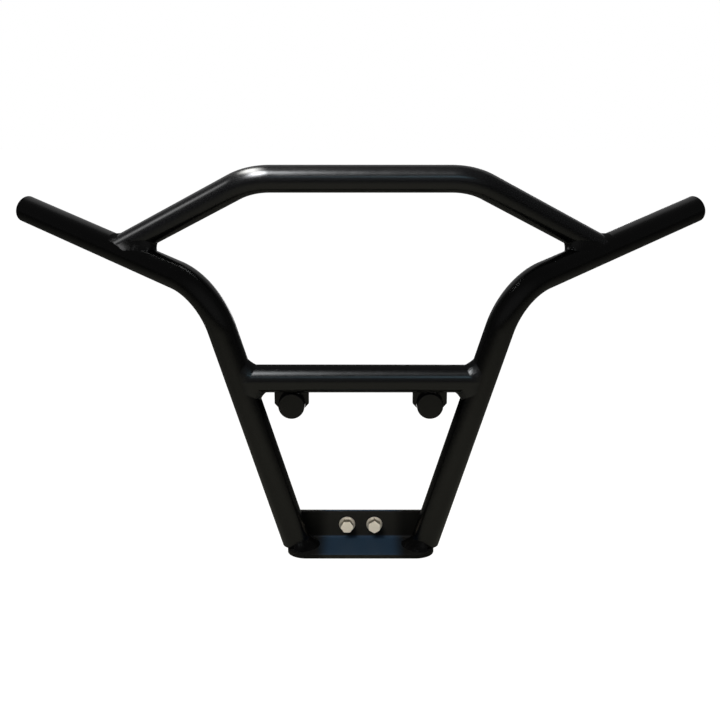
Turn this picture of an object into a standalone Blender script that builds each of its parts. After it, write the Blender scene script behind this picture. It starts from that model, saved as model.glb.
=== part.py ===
# Front bumper for a quad bike: bent and welded round tube on a folded base plate.
# Metres. +X is to the right seen from the front, +Y points back to the vehicle, +Z is up.
# The origin is on the base plate's rear face, midway between its two bolt holes.
import math
from itertools import takewhile

import bmesh
import bpy
from mathutils import Matrix, Vector

# Fits
SEAT_GAP = 0.0003
SLIP_GAP = 0.0004
BEAD_GAP = 0.0005
FOOT_CLEARANCE = 0.0006
BOLT_HOLE_CLEARANCE = 0.0015
WASHER_CLEARANCE = 0.001
THREAD_CLEARANCE = 0.0008

# Base plate, one folded sheet: an upright web with a shelf to its front
PLATE_WIDTH = 0.1845
PLATE_THICKNESS = 0.005
WEB_TOP_OVER_BOLTS = 0.018
SHELF_UNDER_BOLTS = 0.018
SHELF_DEPTH = 0.061
SHELF_CORNER_RADIUS = 0.024
WEB_CORNER_RADIUS = 0.010
FOLD_RADIUS = 0.003
BOLT_PITCH = 0.035
FOOT_FROM_PLATE_END = 0.01175

# Side tubes: a leaning leg, one bend at the knee, then the wing swept back
SIDE_OD = 0.035
SIDE_WALL = 0.002
SIDE_BEND_RADIUS = 0.076
KNEE_SPAN = 0.3614
KNEE_HEIGHT = 0.3195
KNEE_AHEAD = 0.055
WING_SPAN = 0.884
WING_TIP_HEIGHT = 0.386
WING_TIP_BACK = 0.145

# Top hoop: a level bar with two bends, its legs coped to the wings
HOOP_OD = 0.032
HOOP_WALL = 0.002
HOOP_BEND_RADIUS = 0.070
HOOP_BAR_SPAN = 0.258
HOOP_BAR_HEIGHT = 0.4483
HOOP_BAR_AHEAD = 0.052
HOOP_LANDING_PAST_KNEE = 0.1571

# Cross tube, coped between the legs
CROSS_OD = 0.034
CROSS_WALL = 0.002
CROSS_HEIGHT = 0.2066

# Mounting arms under the cross tube, running back to the vehicle
ARM_SPACING = 0.169
ARM_OD = 0.032
ARM_WALL = 0.003
ARM_UNDER_CROSS = 0.0015
ARM_AHEAD_OF_CROSS = 0.004
ARM_LENGTH = 0.110
ARM_DISC = 0.004
ARM_DISC_CHAMFER = 0.0008
YOKE_FLANK = 0.005
YOKE_THICKNESS = 0.005
YOKE_BEHIND_FACE = 0.010
YOKE_SHOULDER_UP = 0.001
YOKE_PRONG_DROP = 0.0043
BUSH_FLANGE = 0.004
BUSH_DEPTH = 0.020
BUSH_BORE = 0.0085

# Wing tip plugs
PLUG_CROWN = 0.0035
PLUG_EDGE = 0.0015
PLUG_DEPTH = 0.018
PLUG_WALL = 0.002
PLUG_RIB = 0.0008
PLUG_RIBS = 2

# M12 bolts with nuts
BOLT_SIZE = 0.012
BOLT_LENGTH = 0.025
HEX_ACROSS_FLATS = 0.019
HEAD_HEIGHT = 0.0075
NUT_HEIGHT = 0.010
WASHER_OD = 0.024
WASHER_THICKNESS = 0.0025
HEX_CHAMFER = 0.0012
HEX_FACE_INSET = 0.0003
HEX_STOCK = 0.0003
BOLT_POINT = 0.001
HEAD_TURN = {"left": 0.0, "right": 30.0}

# Weld beads
BEAD_LEG = 0.0075
BEAD_CROTCH_FILL = 0.85
BEAD_HOLLOW = 0.08
FOOT_BEAD_LEG = 0.008
ARM_BEAD_LEG = 0.004
ARM_BEAD_TURNS = (0.0, 55.0)

# Facets
TUBE_SIDES = 32
BEND_STEP = 8.0
SMALL_SIDES = 24
BEAD_SIDES = 38
CORNER_STEPS = 6
PLUG_STEPS = 4
FOOTING_STEPS = 3
CROWN_STEPS = 3
SHARP_ANGLE = 35.0
TOLERANCE = 1e-6

SIDES = {"left": -1, "right": 1}

# Heights and faces that follow from the sizes above
WEB_FRONT = -PLATE_THICKNESS
SHELF_TOP = -SHELF_UNDER_BOLTS
SIDE_RADIUS = SIDE_OD / 2
HOOP_RADIUS = HOOP_OD / 2
CROSS_RADIUS = CROSS_OD / 2
ARM_RADIUS = ARM_OD / 2
HEX_HALF_CORNERS = HEX_ACROSS_FLATS / math.sqrt(3)
HEX_FACE_RADIUS = HEX_ACROSS_FLATS / 2 - HEX_FACE_INSET
HEX_STOCK_RADIUS = HEX_HALF_CORNERS + HEX_STOCK
FOOT_OUT = PLATE_WIDTH / 2 - FOOT_FROM_PLATE_END
FOOT_BACK = WEB_FRONT - FOLD_RADIUS - FOOT_CLEARANCE - SIDE_RADIUS
YOKE_HALF_WIDTH = ARM_RADIUS + YOKE_FLANK


def clear_scene():
    for item in list(bpy.data.objects):
        bpy.data.objects.remove(item, do_unlink=True)


def finish(name, color, metallic, roughness):
    material = bpy.data.materials.new(name)
    material.use_nodes = True
    shader = material.node_tree.nodes["Principled BSDF"]
    shader.inputs["Base Color"].default_value = (*color, 1.0)
    shader.inputs["Metallic"].default_value = metallic
    shader.inputs["Roughness"].default_value = roughness
    return material


def powder_coat(name):
    return finish(name + "_coat", (0.012, 0.012, 0.013), 0.0, 0.35)


def zinc(name):
    return finish(name + "_zinc", (0.62, 0.60, 0.56), 1.0, 0.32)


def black_plastic(name):
    return finish(name + "_plastic", (0.014, 0.014, 0.015), 0.0, 0.45)


def add_object(name, shape, material):
    """Makes an object of a bmesh, with its faces pointing out and shaded smooth."""
    bmesh.ops.recalc_face_normals(shape, faces=shape.faces)
    mesh = bpy.data.meshes.new(name)
    shape.to_mesh(mesh)
    shape.free()
    mesh.shade_smooth()
    mesh.set_sharp_from_angle(angle=math.radians(SHARP_ANGLE))
    mesh.materials.append(material)
    item = bpy.data.objects.new(name, mesh)
    bpy.context.scene.collection.objects.link(item)
    return item


def cutter(name, shape):
    item = add_object(name, shape, finish(name + "_guide", (0.5, 0.5, 0.5), 0.0, 0.5))
    item.hide_render = True
    item.display_type = "WIRE"
    return item


def boolean(item, other, operation):
    modifier = item.modifiers.new(other.name, "BOOLEAN")
    modifier.object = other
    modifier.operation = operation
    modifier.solver = "EXACT"


def across(direction):
    """Two unit directions square to a direction, the first as level as it can be."""
    level = Vector((0, 0, 1)).cross(direction)
    if level.length < TOLERANCE:
        level = Vector((1, 0, 0))
    level.normalize()
    return level, direction.cross(level).normalized()


def ring_points(centre, direction, radius, sides, first=None):
    """A circle of points square to a direction; first keeps a tube's rings from twisting."""
    level, rise = across(direction)
    if first is not None:
        level = (first - direction * first.dot(direction)).normalized()
        rise = direction.cross(level)
    turns = [2 * math.pi * k / sides for k in range(sides)]
    return [centre + radius * (math.cos(a) * level + math.sin(a) * rise) for a in turns]


class RoundFace:
    """The outside of a straight tube, as something that other pieces meet."""

    def __init__(self, point, direction, radius):
        self.point = point
        self.direction = direction.normalized()
        self.radius = radius

    def square(self, vector):
        return vector - self.direction * vector.dot(self.direction)

    def hit(self, start, heading):
        """Where a straight line first meets the surface."""
        step = self.square(heading)
        offset = self.square(start - self.point)
        a = step.dot(step)
        b = offset.dot(step)
        c = offset.dot(offset) - self.radius**2
        return start + heading * ((-b - math.sqrt(b * b - a * c)) / a)

    def normal(self, place):
        return self.square(place - self.point).normalized()

    def lift(self, place, gap):
        """The point over or under a place that stands clear of the surface by gap."""
        offset = self.square(place - self.point)
        return place + offset * ((self.radius + gap) / offset.length - 1)

    def grown(self, gap):
        return RoundFace(self.point, self.direction, self.radius + gap)


class FlatFace:
    """A flat face of a plate, as something that other pieces meet."""

    def __init__(self, point, normal):
        self.point = point
        self.facing = normal

    def hit(self, start, heading):
        distance = (self.point - start).dot(self.facing)
        return start + heading * (distance / heading.dot(self.facing))

    def normal(self, place):
        return self.facing

    def lift(self, place, gap):
        return place + self.facing * ((self.point - place).dot(self.facing) + gap)

    def grown(self, gap):
        return FlatFace(self.point + self.facing * gap, self.facing)


def bent_path(corners, bend_radius):
    """Centreline of a tube through its corners, as (point, direction) pairs, with round bends."""
    path = [(corners[0], (corners[1] - corners[0]).normalized())]
    for before, corner, after in zip(corners, corners[1:], corners[2:]):
        into = (corner - before).normalized()
        out = (after - corner).normalized()
        turn = into.angle(out)
        start = corner - into * (bend_radius * math.tan(turn / 2))
        inward = (out - into * out.dot(into)).normalized()
        steps = max(2, round(math.degrees(turn) / BEND_STEP))
        for k in range(steps + 1):
            a = turn * k / steps
            reach = bend_radius * (math.sin(a) * into + (1 - math.cos(a)) * inward)
            path.append((start + reach, math.cos(a) * into + math.sin(a) * inward))
    path.append((corners[-1], (corners[-1] - corners[-2]).normalized()))
    return path


def tube(name, path, outside, wall, material, start_face=None, end_face=None):
    """A hollow tube along a path. Its ends are square, or coped to the face that they meet."""
    rings = {}
    for radius in (outside, outside - wall):
        level = across(path[0][1])[0]
        loops = []
        for point, direction in path:
            level = (level - direction * level.dot(direction)).normalized()
            loops.append(ring_points(point, direction, radius, TUBE_SIDES, level))
        if start_face:
            loops[0] = [start_face.hit(p, -path[0][1]) for p in loops[1]]
        if end_face:
            loops[-1] = [end_face.hit(p, path[-1][1]) for p in loops[-2]]
        rings[radius] = loops
    shape = bmesh.new()
    skins = [[[shape.verts.new(p) for p in loop] for loop in rings[r]] for r in rings]
    for skin in skins:
        for one, two in zip(skin, skin[1:]):
            join_loops(shape, one, two)
    join_loops(shape, skins[0][0], skins[1][0])
    join_loops(shape, skins[0][-1], skins[1][-1])
    return add_object(name, shape, material)


def join_loops(shape, one, two):
    count = len(one)
    for k in range(count):
        shape.faces.new((one[k], one[(k + 1) % count], two[(k + 1) % count], two[k]))


def turned(name, profile, material, sides=SMALL_SIDES):
    """A closed profile of (radius, height) points turned about +Z."""
    shape = bmesh.new()
    loops = []
    for radius, height in profile:
        if radius < TOLERANCE:
            loops.append([shape.verts.new((0, 0, height))])
        else:
            ring = ring_points(Vector((0, 0, height)), Vector((0, 0, 1)), radius, sides)
            loops.append([shape.verts.new(p) for p in ring])
    for one, two in zip(loops, loops[1:] + loops[:1]):
        if len(one) > 1 and len(two) > 1:
            join_loops(shape, one, two)
        elif len(one) != len(two):
            pole, ring = (one, two) if len(one) == 1 else (two, one)
            for k in range(sides):
                shape.faces.new((ring[k], ring[(k + 1) % sides], pole[0]))
    return add_object(name, shape, material)


def place(item, point, axis, turn=0.0):
    """Stands an object's own +Z along an axis at a point."""
    item.location = point
    item.rotation_mode = "QUATERNION"
    upright = Vector((0, 0, 1)).rotation_difference(axis)
    item.rotation_quaternion = upright @ Matrix.Rotation(turn, 3, "Z").to_quaternion()
    return item


def thicken(shape, face, reach):
    """Extrudes a face along a vector, into a closed plate or bar."""
    grown = bmesh.ops.extrude_face_region(shape, geom=[face])
    moved = [v for v in grown["geom"] if isinstance(v, bmesh.types.BMVert)]
    bmesh.ops.translate(shape, verts=moved, vec=reach)


def hex_bar(low, high):
    """A bar of hexagon section between two heights."""
    shape = bmesh.new()
    corners = ring_points(Vector((0, 0, low)), Vector((0, 0, 1)), HEX_HALF_CORNERS, 6)
    face = shape.faces.new([shape.verts.new(p) for p in corners])
    thicken(shape, face, Vector((0, 0, high - low)))
    return shape


def drum(radius, low, high):
    """A round bar between two heights."""
    shape = bmesh.new()
    up = Vector((0, 0, 1))
    rings = [ring_points(up * height, up, radius, SMALL_SIDES) for height in (low, high)]
    loops = [[shape.verts.new(p) for p in ring] for ring in rings]
    join_loops(shape, loops[0], loops[1])
    shape.faces.new(loops[0])
    shape.faces.new(loops[1])
    return shape


def side_corners(sign):
    """Corners of a side tube's centreline: its foot, its knee and the tip of its wing."""
    foot = Vector((sign * FOOT_OUT, FOOT_BACK, SHELF_TOP))
    knee = Vector((sign * KNEE_SPAN / 2, -KNEE_AHEAD, KNEE_HEIGHT))
    tip = Vector((sign * WING_SPAN / 2, WING_TIP_BACK, WING_TIP_HEIGHT))
    return foot, knee, tip


def shelf_face():
    return FlatFace(Vector((0, 0, SHELF_TOP)), Vector((0, 0, 1)))


def leg_face(sign):
    foot, knee, tip = side_corners(sign)
    return RoundFace(foot, knee - foot, SIDE_RADIUS)


def wing_face(sign):
    foot, knee, tip = side_corners(sign)
    return RoundFace(knee, tip - knee, SIDE_RADIUS)


def hoop_corners():
    """The hoop's four corners; its outer two lie on the wings' centrelines."""
    corners = []
    for sign in (-1, 1):
        foot, knee, tip = side_corners(sign)
        landing = knee + (tip - knee).normalized() * HOOP_LANDING_PAST_KNEE
        bend = Vector((sign * HOOP_BAR_SPAN / 2, -HOOP_BAR_AHEAD, HOOP_BAR_HEIGHT))
        corners += [landing, bend] if sign < 0 else [bend, landing]
    return corners


def cross_end(sign):
    """Where the cross tube's centreline meets a leg's."""
    foot, knee, tip = side_corners(sign)
    share = (CROSS_HEIGHT - foot.z) / (knee.z - foot.z)
    return foot + (knee - foot) * share


def arm_front(sign):
    """Centre of the flat front face of an arm's end disc."""
    end = cross_end(sign)
    drop = CROSS_RADIUS + ARM_UNDER_CROSS + ARM_RADIUS
    return Vector((sign * ARM_SPACING / 2, end.y - ARM_AHEAD_OF_CROSS, end.z - drop))


def make_base_plate():
    half = PLATE_WIDTH / 2
    inner = FOLD_RADIUS
    outer = FOLD_RADIUS + PLATE_THICKNESS
    centre_y = WEB_FRONT - inner
    centre_z = SHELF_TOP + inner
    profile = [(0.0, WEB_TOP_OVER_BOLTS), (WEB_FRONT, WEB_TOP_OVER_BOLTS)]
    for k in range(CORNER_STEPS + 1):
        a = math.pi / 2 * k / CORNER_STEPS
        profile.append((centre_y + inner * math.cos(a), centre_z - inner * math.sin(a)))
    profile += [(-SHELF_DEPTH, SHELF_TOP), (-SHELF_DEPTH, SHELF_TOP - PLATE_THICKNESS)]
    for k in range(CORNER_STEPS, -1, -1):
        a = math.pi / 2 * k / CORNER_STEPS
        profile.append((centre_y + outer * math.cos(a), centre_z - outer * math.sin(a)))
    shape = bmesh.new()
    face = shape.faces.new([shape.verts.new((-half, y, z)) for y, z in profile])
    thicken(shape, face, Vector((PLATE_WIDTH, 0, 0)))
    round_edges(shape, shelf_corner_edges(shape), SHELF_CORNER_RADIUS)
    round_edges(shape, web_corner_edges(shape), WEB_CORNER_RADIUS)
    plate = add_object("base_plate", shape, powder_coat("base_plate"))
    for name, sign in SIDES.items():
        radius = (BOLT_SIZE + BOLT_HOLE_CLEARANCE) / 2
        hole = cutter("bolt_hole_" + name, drum(radius, -PLATE_THICKNESS, PLATE_THICKNESS))
        place(hole, Vector((sign * BOLT_PITCH / 2, WEB_FRONT / 2, 0)), Vector((0, -1, 0)))
        boolean(plate, hole, "DIFFERENCE")
    return plate


def shelf_corner_edges(shape):
    """The two upright edges at the shelf's front."""
    front = [e for e in shape.edges if all(abs(v.co.y + SHELF_DEPTH) < TOLERANCE for v in e.verts)]
    return [e for e in front if abs(e.verts[0].co.z - e.verts[1].co.z) > PLATE_THICKNESS / 2]


def web_corner_edges(shape):
    """The two edges through the web's thickness at its top."""
    height = WEB_TOP_OVER_BOLTS
    top = [e for e in shape.edges if all(abs(v.co.z - height) < TOLERANCE for v in e.verts)]
    return [e for e in top if abs(e.verts[0].co.y - e.verts[1].co.y) > PLATE_THICKNESS / 2]


def round_edges(shape, edges, radius):
    bmesh.ops.bevel(
        shape, geom=edges, offset=radius, segments=CORNER_STEPS, profile=0.5, affect="EDGES"
    )


def make_side_tube(name, sign):
    label = "side_tube_" + name
    path = bent_path(list(side_corners(sign)), SIDE_BEND_RADIUS)
    shelf = shelf_face().grown(SEAT_GAP)
    tube(label, path, SIDE_RADIUS, SIDE_WALL, powder_coat(label), start_face=shelf)


def make_hoop():
    path = bent_path(hoop_corners(), HOOP_BEND_RADIUS)
    wings = [wing_face(sign).grown(SEAT_GAP) for sign in (-1, 1)]
    tube("top_hoop", path, HOOP_RADIUS, HOOP_WALL, powder_coat("top_hoop"), wings[0], wings[1])


def make_cross_tube():
    ends = [cross_end(-1), cross_end(1)]
    along = Vector((1, 0, 0))
    middle = (ends[0] + ends[1]) / 2
    reach = Vector((CROSS_OD, 0, 0))
    path = [(ends[0], along), (middle - reach, along), (middle + reach, along), (ends[1], along)]
    legs = [leg_face(sign).grown(SEAT_GAP) for sign in (-1, 1)]
    tube("cross_tube", path, CROSS_RADIUS, CROSS_WALL, powder_coat("cross_tube"), legs[0], legs[1])


def make_wing_plug(name, sign):
    """A pressed-in end plug: a low crown, and a ribbed hollow spigot inside the tube."""
    foot, knee, tip = side_corners(sign)
    spigot = SIDE_RADIUS - SIDE_WALL - SLIP_GAP
    root = spigot - PLUG_RIB
    profile = [(0, PLUG_CROWN)]
    for k in range(1, PLUG_STEPS):
        a = math.pi / 2 * k / PLUG_STEPS
        rise = PLUG_EDGE + (PLUG_CROWN - PLUG_EDGE) * math.cos(a)
        profile.append((SIDE_RADIUS * math.sin(a), rise))
    profile += [(SIDE_RADIUS, PLUG_EDGE), (SIDE_RADIUS, SEAT_GAP), (root, SEAT_GAP)]
    pitch = PLUG_DEPTH / (PLUG_RIBS + 1)
    for k in range(1, PLUG_RIBS + 1):
        crest = -pitch * k
        profile += [(root, crest + PLUG_RIB), (spigot, crest), (root, crest - PLUG_RIB)]
    hollow = root - PLUG_WALL
    profile += [(root, -PLUG_DEPTH), (hollow, -PLUG_DEPTH), (hollow, SEAT_GAP), (0, SEAT_GAP)]
    label = "wing_plug_" + name
    plug = turned(label, profile, black_plastic(label), TUBE_SIDES)
    place(plug, tip, (tip - knee).normalized())


def make_arm(name, sign):
    """An arm: a tube with a welded front disc and a threaded bush in its rear end."""
    front = arm_front(sign)
    back = Vector((0, 1, 0))
    start = front + back * (ARM_DISC + SEAT_GAP)
    end = front + back * (ARM_LENGTH - BUSH_FLANGE - SEAT_GAP)
    label = "arm_tube_" + name
    tube(label, [(start, back), (end, back)], ARM_RADIUS, ARM_WALL, powder_coat(label))

    rim = ARM_DISC_CHAMFER
    profile = [(0, 0), (ARM_RADIUS - rim, 0), (ARM_RADIUS, rim)]
    profile += [(ARM_RADIUS, ARM_DISC), (0, ARM_DISC)]
    disc = turned("arm_disc_" + name, profile, powder_coat("arm_disc_" + name), TUBE_SIDES)
    place(disc, front, back)

    spigot = ARM_RADIUS - ARM_WALL - SEAT_GAP
    bore = BUSH_BORE / 2
    profile = [(bore, 0), (ARM_RADIUS - rim, 0), (ARM_RADIUS, rim), (ARM_RADIUS, BUSH_FLANGE)]
    profile += [(spigot, BUSH_FLANGE), (spigot, BUSH_DEPTH), (bore, BUSH_DEPTH)]
    bush = turned("arm_bush_" + name, profile, zinc("arm_bush_" + name), TUBE_SIDES)
    place(bush, front + back * ARM_LENGTH, -back)


def yoke_front(sign):
    return arm_front(sign).y + YOKE_BEHIND_FACE


def yoke_outline():
    """The yoke seen from the front, about the arm's centre: shoulders, slanted prongs, round notch."""
    half = YOKE_HALF_WIDTH
    notch = ARM_RADIUS + SEAT_GAP
    top = CROSS_RADIUS / 2 + ARM_UNDER_CROSS + ARM_RADIUS
    below = math.asin(YOKE_PRONG_DROP / notch)
    outline = [(-half, top), (-half, YOKE_SHOULDER_UP)]
    for k in range(SMALL_SIDES + 1):
        a = math.pi + below - (math.pi + 2 * below) * k / SMALL_SIDES
        outline.append((notch * math.cos(a), notch * math.sin(a)))
    return outline + [(half, YOKE_SHOULDER_UP), (half, top)]


def make_yoke(name, sign):
    """A plate that hangs from the cross tube and straddles the top of an arm."""
    centre = arm_front(sign)
    front = yoke_front(sign)
    shape = bmesh.new()
    corners = [(centre.x + x, front, centre.z + z) for x, z in yoke_outline()]
    face = shape.faces.new([shape.verts.new(corner) for corner in corners])
    thicken(shape, face, Vector((0, YOKE_THICKNESS, 0)))
    yoke = add_object("arm_yoke_" + name, shape, powder_coat("arm_yoke_" + name))
    reach = 2 * YOKE_HALF_WIDTH
    cope = cutter("yoke_cope_" + name, drum(CROSS_RADIUS + SEAT_GAP, -reach, reach))
    crossing = cross_end(sign)
    place(cope, Vector((centre.x, crossing.y, crossing.z)), Vector((1, 0, 0)))
    boolean(yoke, cope, "DIFFERENCE")


def make_bolt(name, sign):
    """A hex bolt, turned and then brought to its hexagon by the gauge."""
    shank = BOLT_SIZE / 2
    tip = -BOLT_LENGTH
    profile = [(0, HEAD_HEIGHT), (HEX_FACE_RADIUS, HEAD_HEIGHT)]
    profile += [(HEX_STOCK_RADIUS, HEAD_HEIGHT - HEX_CHAMFER), (HEX_STOCK_RADIUS, 0)]
    profile += [(shank, 0), (shank, tip + BOLT_POINT), (shank - BOLT_POINT, tip), (0, tip)]
    bolt = turned("base_bolt_" + name, profile, zinc("base_bolt_" + name))
    gauge = cutter("bolt_gauge_" + name, hex_bar(-2 * BOLT_LENGTH, 2 * HEAD_HEIGHT))
    seat = Vector((sign * BOLT_PITCH / 2, WEB_FRONT - SEAT_GAP, 0))
    for item in (bolt, gauge):
        place(item, seat, Vector((0, -1, 0)), math.radians(HEAD_TURN[name]))
    boolean(bolt, gauge, "INTERSECT")


def make_washer(name, sign):
    inner = (BOLT_SIZE + WASHER_CLEARANCE) / 2
    outer = WASHER_OD / 2
    profile = [(inner, 0), (outer, 0), (outer, WASHER_THICKNESS), (inner, WASHER_THICKNESS)]
    washer = turned("base_washer_" + name, profile, zinc("base_washer_" + name))
    place(washer, Vector((sign * BOLT_PITCH / 2, SEAT_GAP, 0)), Vector((0, 1, 0)))


def make_nut(name, sign):
    bore = (BOLT_SIZE + THREAD_CLEARANCE) / 2
    top = NUT_HEIGHT
    profile = [(bore, 0), (HEX_FACE_RADIUS, 0), (HEX_STOCK_RADIUS, HEX_CHAMFER)]
    profile += [(HEX_STOCK_RADIUS, top - HEX_CHAMFER), (HEX_FACE_RADIUS, top), (bore, top)]
    nut = turned("base_nut_" + name, profile, zinc("base_nut_" + name))
    gauge = cutter("nut_gauge_" + name, hex_bar(-top, 2 * top))
    seat = Vector((sign * BOLT_PITCH / 2, 2 * SEAT_GAP + WASHER_THICKNESS, 0))
    for item in (nut, gauge):
        place(item, seat, Vector((0, 1, 0)), math.radians(HEAD_TURN[name]))
    boolean(nut, gauge, "INTERSECT")


def bead_section(branch, main, spot, leg):
    """One cross-section of a fillet bead where a branch tube meets a main face at spot."""
    off_branch = branch.normal(spot)
    off_main = main.normal(spot)
    along = off_branch.cross(off_main).normalized()
    over_main = along.cross(off_main)
    over_main *= 1 if over_main.dot(off_branch) > 0 else -1
    over_branch = along.cross(off_branch)
    over_branch *= 1 if over_branch.dot(off_main) > 0 else -1
    leg *= 1 + BEAD_CROTCH_FILL * max(0.0, over_main.dot(over_branch))
    root = spot + (off_main + off_branch) * (BEAD_GAP / (1 + off_main.dot(off_branch)))
    shares = [(k + 1) / FOOTING_STEPS for k in range(FOOTING_STEPS)]
    under_main = [main.lift(spot + over_main * (leg * share), BEAD_GAP) for share in shares]
    under_branch = [branch.lift(spot + over_branch * (leg * share), BEAD_GAP) for share in shares]
    middle = (under_main[-1] + under_branch[-1]) / 2
    inward = (spot - middle).normalized() * (leg * BEAD_HOLLOW)
    crown = []
    for k in range(1, CROWN_STEPS):
        share = k / CROWN_STEPS
        dip = inward * (4 * share * (1 - share))
        crown.append(under_main[-1].lerp(under_branch[-1], share) + dip)
    return [root, *under_main, *crown, *under_branch[::-1]]


def round_run(branch, main, leg, turns):
    """Bead sections round a branch tube, where it meets a main face, over turns about its axis."""
    level, rise = across(branch.direction)
    run = []
    for turn in turns:
        out = math.cos(turn) * level + math.sin(turn) * rise
        spot = main.hit(branch.point + out * branch.radius, branch.direction)
        run.append(bead_section(branch, main, spot, leg))
    return run


def add_bead(name, run, closed):
    """A weld bead through a run of sections. A closed run joins its own start."""
    shape = bmesh.new()
    loops = [[shape.verts.new(p) for p in section] for section in run]
    for one, two in zip(loops, loops[1:]):
        join_loops(shape, one, two)
    if closed:
        join_loops(shape, loops[-1], loops[0])
    else:
        shape.faces.new(loops[0])
        shape.faces.new(loops[-1])
    add_object(name, shape, powder_coat(name))


def full_turn(steps):
    return [2 * math.pi * k / steps for k in range(steps)]


def make_hoop_weld(name, sign):
    corners = hoop_corners()[::-sign]
    landing, bend = corners[0], corners[1]
    branch = RoundFace(bend, landing - bend, HOOP_RADIUS)
    run = round_run(branch, wing_face(sign), BEAD_LEG, full_turn(BEAD_SIDES))
    add_bead("hoop_weld_" + name, run, True)


def make_cross_weld(name, sign):
    end = cross_end(sign)
    branch = RoundFace(Vector((0, end.y, end.z)), Vector((sign, 0, 0)), CROSS_RADIUS)
    run = round_run(branch, leg_face(sign), BEAD_LEG, full_turn(BEAD_SIDES))
    add_bead("cross_weld_" + name, run, True)


def make_foot_weld(name, sign):
    """A bead round the foot, wherever it has shelf under it and room before the web."""
    foot, knee, tip = side_corners(sign)
    above = foot + (knee - foot).normalized() * SIDE_OD
    branch = RoundFace(above, foot - knee, SIDE_RADIUS)
    level, rise = across(branch.direction)
    turns = full_turn(BEAD_SIDES)
    held = []
    for turn in turns:
        out = math.cos(turn) * level + math.sin(turn) * rise
        toe = shelf_face().hit(above + out * SIDE_RADIUS, branch.direction) + out * FOOT_BEAD_LEG
        held.append(toe.y < WEB_FRONT - FOLD_RADIUS and on_shelf(toe))
    closed = all(held)
    if not closed:
        first = next(k for k in range(BEAD_SIDES) if held[k] and not held[k - 1])
        around = [(first + k) % BEAD_SIDES for k in range(BEAD_SIDES)]
        turns = [turns[k] for k in takewhile(lambda k: held[k], around)]
    run = round_run(branch, shelf_face(), FOOT_BEAD_LEG, turns)
    add_bead("foot_weld_" + name, run, closed)


def on_shelf(place):
    """Is a point within the shelf's outline, its rounded corners included?"""
    across_corner = abs(place.x) - (PLATE_WIDTH / 2 - SHELF_CORNER_RADIUS)
    ahead_corner = -place.y - (SHELF_DEPTH - SHELF_CORNER_RADIUS)
    if across_corner > 0 and ahead_corner > 0:
        return math.hypot(across_corner, ahead_corner) < SHELF_CORNER_RADIUS
    return abs(place.x) < PLATE_WIDTH / 2 and -place.y < SHELF_DEPTH


def yoke_rear(sign):
    return FlatFace(Vector((0, yoke_front(sign) + YOKE_THICKNESS, 0)), Vector((0, 1, 0)))


def make_yoke_weld(name, sign):
    """A straight bead between the yoke's rear face and the cross tube."""
    centre = arm_front(sign)
    crossing = cross_end(sign)
    tube_face = RoundFace(crossing, Vector((1, 0, 0)), CROSS_RADIUS)
    back = yoke_front(sign) + YOKE_THICKNESS
    down = math.sqrt(CROSS_RADIUS**2 - (back - crossing.y) ** 2)
    run = []
    for end in (-YOKE_HALF_WIDTH, YOKE_HALF_WIDTH):
        spot = Vector((centre.x + end, back, crossing.z - down))
        run.append(bead_section(yoke_rear(sign), tube_face, spot, ARM_BEAD_LEG))
    add_bead("yoke_weld_" + name, run, False)


def make_arm_weld(name, sign):
    """Two beads between the arm and the rear of its yoke, one up each flank."""
    front = arm_front(sign)
    branch = RoundFace(front + Vector((0, ARM_LENGTH, 0)), Vector((0, -1, 0)), ARM_RADIUS)
    low, high = (math.radians(turn) for turn in ARM_BEAD_TURNS)
    turns = [low + (high - low) * k / CORNER_STEPS for k in range(CORNER_STEPS + 1)]
    flanks = {"_a": turns, "_b": [math.pi - turn for turn in turns]}
    for suffix, flank in flanks.items():
        run = round_run(branch, yoke_rear(sign), ARM_BEAD_LEG, flank)
        add_bead("arm_weld_" + name + suffix, run, False)


def main():
    clear_scene()
    make_base_plate()
    make_hoop()
    make_cross_tube()
    for name, sign in SIDES.items():
        make_side_tube(name, sign)
        make_wing_plug(name, sign)
        make_arm(name, sign)
        make_yoke(name, sign)
        make_bolt(name, sign)
        make_washer(name, sign)
        make_nut(name, sign)
        make_hoop_weld(name, sign)
        make_cross_weld(name, sign)
        make_foot_weld(name, sign)
        make_yoke_weld(name, sign)
        make_arm_weld(name, sign)


main()
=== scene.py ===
import math

import bpy
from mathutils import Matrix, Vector


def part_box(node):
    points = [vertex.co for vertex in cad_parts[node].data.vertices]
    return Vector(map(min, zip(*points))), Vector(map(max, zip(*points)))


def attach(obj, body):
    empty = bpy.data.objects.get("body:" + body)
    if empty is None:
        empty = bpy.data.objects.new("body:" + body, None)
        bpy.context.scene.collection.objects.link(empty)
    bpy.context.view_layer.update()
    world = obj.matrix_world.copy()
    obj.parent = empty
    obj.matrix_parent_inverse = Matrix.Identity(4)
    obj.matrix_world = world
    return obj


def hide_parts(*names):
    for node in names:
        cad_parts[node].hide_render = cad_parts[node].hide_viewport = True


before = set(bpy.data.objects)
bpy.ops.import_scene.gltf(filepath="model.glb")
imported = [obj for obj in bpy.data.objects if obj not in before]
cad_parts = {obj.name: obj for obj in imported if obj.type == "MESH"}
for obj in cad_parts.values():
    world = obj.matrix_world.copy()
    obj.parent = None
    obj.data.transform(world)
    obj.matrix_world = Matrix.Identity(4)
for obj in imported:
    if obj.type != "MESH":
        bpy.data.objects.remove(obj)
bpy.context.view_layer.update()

plateLow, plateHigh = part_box("base_plate")
up = Vector((0, 0, 1))
back = Vector((0, 1, 0))
sides = {"Left": -1, "Right": 1}

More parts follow.
